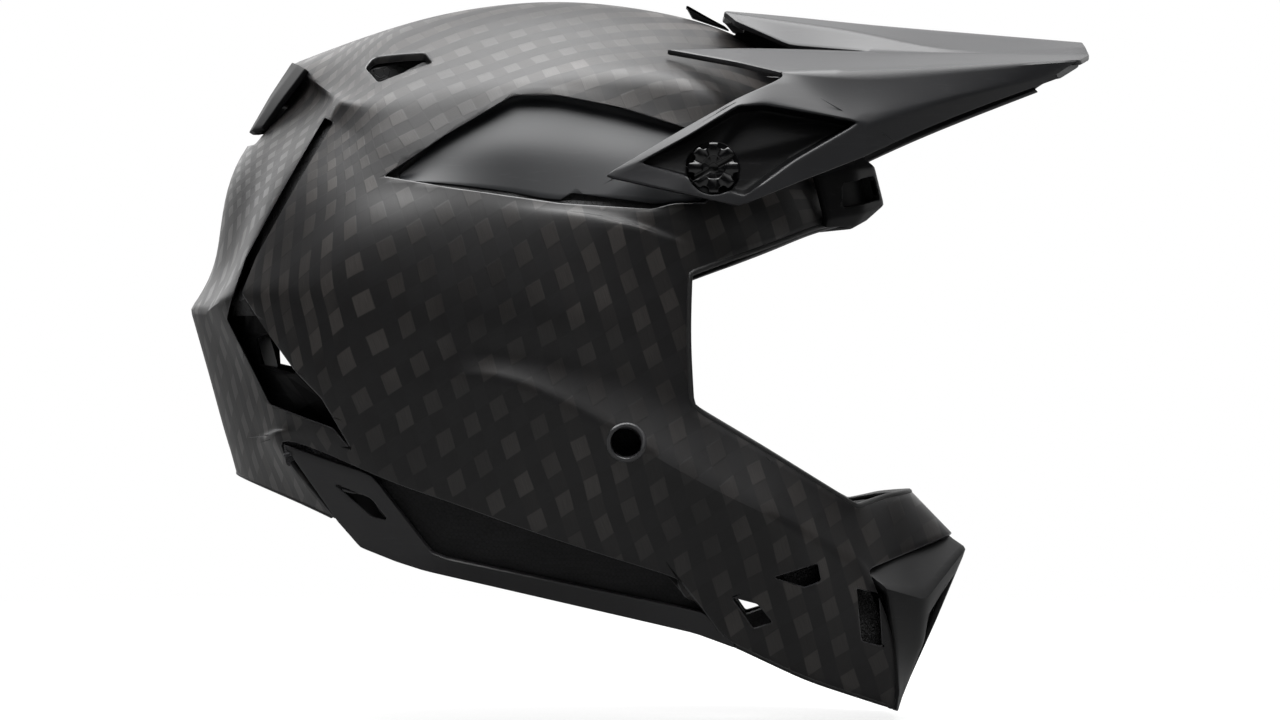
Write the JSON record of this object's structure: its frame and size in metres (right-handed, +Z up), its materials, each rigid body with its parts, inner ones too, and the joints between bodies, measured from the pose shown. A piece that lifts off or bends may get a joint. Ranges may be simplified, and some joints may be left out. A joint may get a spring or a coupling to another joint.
{
  "type": "downhill bike full face helmet",
  "caption": "Full face helmet for downhill riding: woven carbon shell with chin bar, tilting visor on hand screws, slip liner, cheek pads and chin strap.",
  "frame": {"origin": "centre of the wearer's head, which is the centre of the head cavity", "axes": "+X forward, +Y to the wearer's left, +Z up, in the attitude in which the helmet is worn"},
  "size_m": [0.3965, 0.248, 0.3145],
  "materials": {
    "carbon_shell": "satin",
    "visor_plastic": "matte",
    "black_plastic": "matte",
    "knob_plastic": "gloss",
    "insert_brass": "machined",
    "washer_rubber": "matte",
    "screw_steel": "brushed",
    "liner_foam": "matte",
    "filter_foam": "porous",
    "pad_fabric": "brushed",
    "skirt_cloth": "woven",
    "webbing": "woven",
    "tab_cloth": "woven",
    "snap_plastic": "matte"
  },
  "bodies": {
    "helmet": {"brow_insert": "black_plastic", "cheek_foam_left": "liner_foam", "cheek_foam_right": "liner_foam", "cheek_magnets": "screw_steel", "chin_edge_trim": "washer_rubber", "chin_foam": "liner_foam", "chin_front_mesh": "filter_foam", "chin_side_mesh": "filter_foam", "chin_strap_left": "webbing", "chin_strap_right": "webbing", "chin_vent_trim": "black_plastic", "eye_port_trim": "washer_rubber", "neck_edge_trim": "washer_rubber", "neck_roll": "pad_fabric", "outer_liner": "liner_foam", "outer_shell": "carbon_shell", "rear_fin": "black_plastic", "side_panel_left": "visor_plastic", "side_panel_right": "visor_plastic", "skirt_fabric_left": "skirt_cloth", "skirt_fabric_right": "skirt_cloth", "skirt_left": "black_plastic", "skirt_right": "black_plastic", "slip_bumpers": "washer_rubber", "strap_anchors": "screw_steel", "strap_pad_left": "pad_fabric", "strap_pad_right": "pad_fabric", "strap_snap": "snap_plastic", "visor_guide": "black_plastic", "visor_screw_inserts": "insert_brass", "visor_top_nut": "screw_steel", "visor_washers": "washer_rubber"},
    "visor": {"visor": "visor_plastic", "visor_tongue": "black_plastic"},
    "left_visor_screw": {"visor_screw_left": "knob_plastic"},
    "right_visor_screw": {"visor_screw_right": "knob_plastic"},
    "top_visor_screw": {"visor_top_screw": "screw_steel"},
    "head_liner": {"inner_liner": "liner_foam", "comfort_liner": "pad_fabric", "brow_pad": "pad_fabric"},
    "left_cheek_pad": {"cheek_pad_left": "pad_fabric", "release_tab_left": "tab_cloth"},
    "right_cheek_pad": {"cheek_pad_right": "pad_fabric", "release_tab_right": "tab_cloth"},
    "rings": {"strap_rings": "screw_steel"}
  },
  "joints": [
    {"name": "visor_tilt", "type": "hinge", "parent": "helmet", "child": "visor", "pos_m": [0.074, 0, 0.0465], "axis": [0, -1, 0], "range_deg": [-15, 3]},
    {"name": "left_visor_screw_turn", "type": "hinge", "parent": "helmet", "child": "left_visor_screw", "pos_m": [0.074, 0.107, 0.0465], "axis": [0, 1, 0], "continuous": true},
    {"name": "right_visor_screw_turn", "type": "hinge", "parent": "helmet", "child": "right_visor_screw", "pos_m": [0.074, -0.107, 0.0465], "axis": [0, -1, 0], "continuous": true},
    {"name": "top_visor_screw_turn", "type": "hinge", "parent": "helmet", "child": "top_visor_screw", "pos_m": [0.11525, 0, 0.0993], "axis": [0.6157, 0, 0.788], "continuous": true},
    {"name": "liner_slip", "type": "hinge", "parent": "helmet", "child": "head_liner", "pos_m": [0, 0, 0], "axis": [0, 0, 1], "range_deg": [-6, 6], "stiffness_Nm_per_rad": 3},
    {"name": "left_cheek_pad_slide", "type": "slide", "parent": "helmet", "child": "left_cheek_pad", "axis": [0, 0, -1], "range_m": [0, 0.09]},
    {"name": "right_cheek_pad_slide", "type": "slide", "parent": "helmet", "child": "right_cheek_pad", "axis": [0, 0, -1], "range_m": [0, 0.09]},
    {"name": "rings_swing", "type": "hinge", "parent": "helmet", "child": "rings", "pos_m": [0.016, -0.03, -0.1175], "axis": [1, 0, 0], "range_deg": [-35, 35]}
  ]
}
